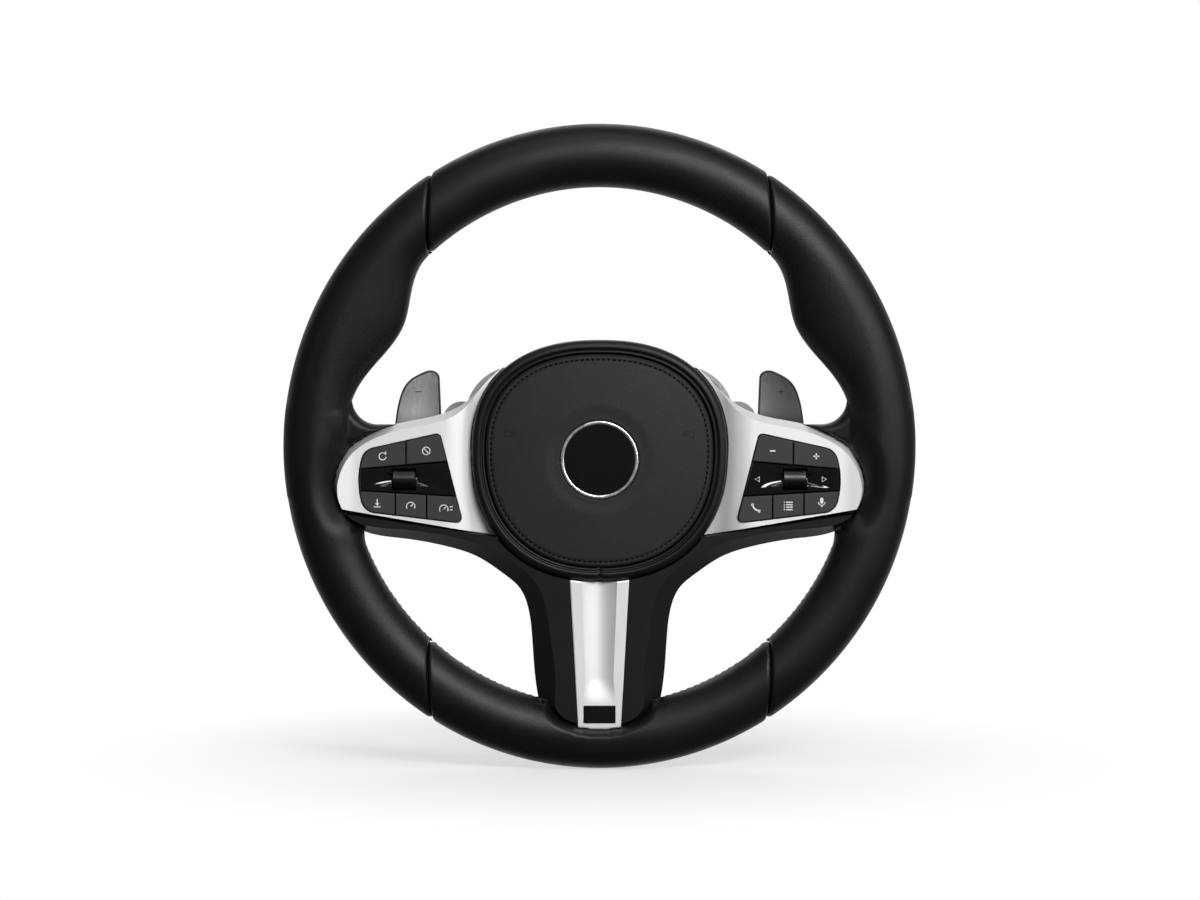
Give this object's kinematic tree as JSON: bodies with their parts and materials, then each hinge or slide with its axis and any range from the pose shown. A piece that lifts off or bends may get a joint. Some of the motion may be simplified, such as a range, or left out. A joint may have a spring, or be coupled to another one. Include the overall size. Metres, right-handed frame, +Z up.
{
  "type": "car steering wheel",
  "caption": "Leather-rimmed car steering wheel with spring-mounted airbag pad, switch packs with keys, rocker and roller, a tapered lower spoke and sprung shift paddles.",
  "frame": {"origin": "centre of the column bore's rear mouth, on the hub's rear face", "axes": "+Z is up when the wheel is straight ahead, +X is the driver's right, and +Y runs along the column axis away from the driver"},
  "size_m": [0.37, 0.0706, 0.3778],
  "materials": {
    "black_leather": "smooth black leather with a soft sheen",
    "grey_leather": "fine-grained dark grey leather",
    "foam": "moulded polyurethane foam",
    "alloy": "die-cast light alloy",
    "satin_silver": "satin silver paint",
    "black_plastic": "satin black moulding",
    "grey_plastic": "satin dark grey moulding",
    "key_grey": "matte dark grey",
    "gloss_black": "gloss black",
    "chrome": "bright chrome",
    "roller_metal": "satin grey, ribbed",
    "paddle_metal": "satin grey metal",
    "steel": "plain steel",
    "dark_metal": "black painted sheet",
    "cushion_cloth": "folded woven cloth",
    "board_green": "lacquered circuit board",
    "mat_rubber": "grey silicone rubber"
  },
  "bodies": {
    "wheel": {"rim_leather_top": "black_leather", "rim_leather_bottom": "black_leather", "left_rim_leather": "black_leather", "right_rim_leather": "black_leather", "rim_foam": "foam", "armature": "alloy", "left_spoke_trim": "satin_silver", "right_spoke_trim": "satin_silver", "lower_insert": "satin_silver", "spoke_cover": "black_plastic", "left_switch_frame": "black_plastic", "right_switch_frame": "black_plastic", "left_switch_tray": "black_plastic", "right_switch_tray": "black_plastic", "rear_cover": "grey_plastic", "left_paddle_housing": "grey_plastic", "right_paddle_housing": "grey_plastic", "insert_plate": "gloss_black", "cover_screws": "steel", "horn_springs": "steel", "left_paddle_pin": "steel", "right_paddle_pin": "steel", "left_paddle_spring": "steel", "right_paddle_spring": "steel", "left_roller_axle": "steel", "right_roller_axle": "steel", "left_switch_board": "board_green", "right_switch_board": "board_green", "left_dome_mat": "mat_rubber", "right_dome_mat": "mat_rubber"},
    "airbag_module": {"airbag_cover": "grey_leather", "airbag_band": "black_leather", "emblem_ring": "chrome", "emblem_disc": "gloss_black", "airbag_housing": "dark_metal", "airbag_cushion": "cushion_cloth", "inflator": "steel", "airbag_pins": "steel"},
    "left_paddle": {"left_paddle": "paddle_metal"},
    "left_key_top_inner": {"left_key_top_inner": "key_grey"},
    "left_key_top_outer": {"left_key_top_outer": "key_grey"},
    "left_key_low_inner": {"left_key_low_inner": "key_grey"},
    "left_key_low_middle": {"left_key_low_middle": "key_grey"},
    "left_key_low_outer": {"left_key_low_outer": "key_grey"},
    "left_rocker": {"left_rocker": "gloss_black"},
    "left_roller": {"left_roller": "roller_metal"},
    "right_paddle": {"right_paddle": "paddle_metal"},
    "right_key_top_inner": {"right_key_top_inner": "key_grey"},
    "right_key_top_outer": {"right_key_top_outer": "key_grey"},
    "right_key_low_inner": {"right_key_low_inner": "key_grey"},
    "right_key_low_middle": {"right_key_low_middle": "key_grey"},
    "right_key_low_outer": {"right_key_low_outer": "key_grey"},
    "right_rocker": {"right_rocker": "gloss_black"},
    "right_roller": {"right_roller": "roller_metal"}
  },
  "joints": [
    {"name": "horn_push", "type": "slide", "parent": "wheel", "child": "airbag_module", "axis": [0, 1, 0], "range_m": [0, 0.002], "stiffness_N_per_m": 9000, "springref_m": -0.0015, "deforming": ["horn_springs"]},
    {"name": "left_paddle_pull", "type": "hinge", "parent": "wheel", "child": "left_paddle", "pos_m": [-0.082, -0.0175, 0], "axis": [0, 0, 1], "range_deg": [0, 5], "stiffness_Nm_per_rad": 1.2, "springref_deg": -2.86, "deforming": ["left_paddle_spring"]},
    {"name": "left_key_top_inner_press", "type": "slide", "parent": "wheel", "child": "left_key_top_inner", "axis": [0, 1, 0], "range_m": [0, 0.0008], "stiffness_N_per_m": 1500, "springref_m": -0.0008},
    {"name": "left_key_top_outer_press", "type": "slide", "parent": "wheel", "child": "left_key_top_outer", "axis": [0, 1, 0], "range_m": [0, 0.0008], "stiffness_N_per_m": 1500, "springref_m": -0.0008},
    {"name": "left_key_low_inner_press", "type": "slide", "parent": "wheel", "child": "left_key_low_inner", "axis": [0, 1, 0], "range_m": [0, 0.0008], "stiffness_N_per_m": 1500, "springref_m": -0.0008},
    {"name": "left_key_low_middle_press", "type": "slide", "parent": "wheel", "child": "left_key_low_middle", "axis": [0, 1, 0], "range_m": [0, 0.0008], "stiffness_N_per_m": 1500, "springref_m": -0.0008},
    {"name": "left_key_low_outer_press", "type": "slide", "parent": "wheel", "child": "left_key_low_outer", "axis": [0, 1, 0], "range_m": [0, 0.0008], "stiffness_N_per_m": 1500, "springref_m": -0.0008},
    {"name": "left_rocker_tilt", "type": "hinge", "parent": "wheel", "child": "left_rocker", "pos_m": [-0.1142, -0.0576, -0.0186], "axis": [0, 0, 1], "range_deg": [-2, 2], "stiffness_Nm_per_rad": 0.6},
    {"name": "left_roller_turn", "type": "hinge", "parent": "wheel", "child": "left_roller", "pos_m": [-0.1142, -0.0578, -0.0186], "axis": [1, 0, 0], "continuous": true},
    {"name": "right_paddle_pull", "type": "hinge", "parent": "wheel", "child": "right_paddle", "pos_m": [0.082, -0.0175, 0], "axis": [0, 0, -1], "range_deg": [0, 5], "stiffness_Nm_per_rad": 1.2, "springref_deg": -2.86, "deforming": ["right_paddle_spring"]},
    {"name": "right_key_top_inner_press", "type": "slide", "parent": "wheel", "child": "right_key_top_inner", "axis": [0, 1, 0], "range_m": [0, 0.0008], "stiffness_N_per_m": 1500, "springref_m": -0.0008},
    {"name": "right_key_top_outer_press", "type": "slide", "parent": "wheel", "child": "right_key_top_outer", "axis": [0, 1, 0], "range_m": [0, 0.0008], "stiffness_N_per_m": 1500, "springref_m": -0.0008},
    {"name": "right_key_low_inner_press", "type": "slide", "parent": "wheel", "child": "right_key_low_inner", "axis": [0, 1, 0], "range_m": [0, 0.0008], "stiffness_N_per_m": 1500, "springref_m": -0.0008},
    {"name": "right_key_low_middle_press", "type": "slide", "parent": "wheel", "child": "right_key_low_middle", "axis": [0, 1, 0], "range_m": [0, 0.0008], "stiffness_N_per_m": 1500, "springref_m": -0.0008},
    {"name": "right_key_low_outer_press", "type": "slide", "parent": "wheel", "child": "right_key_low_outer", "axis": [0, 1, 0], "range_m": [0, 0.0008], "stiffness_N_per_m": 1500, "springref_m": -0.0008},
    {"name": "right_rocker_tilt", "type": "hinge", "parent": "wheel", "child": "right_rocker", "pos_m": [0.1142, -0.0576, -0.0186], "axis": [0, 0, 1], "range_deg": [-2, 2], "stiffness_Nm_per_rad": 0.6},
    {"name": "right_roller_turn", "type": "hinge", "parent": "wheel", "child": "right_roller", "pos_m": [0.1142, -0.0578, -0.0186], "axis": [1, 0, 0], "continuous": true}
  ]
}
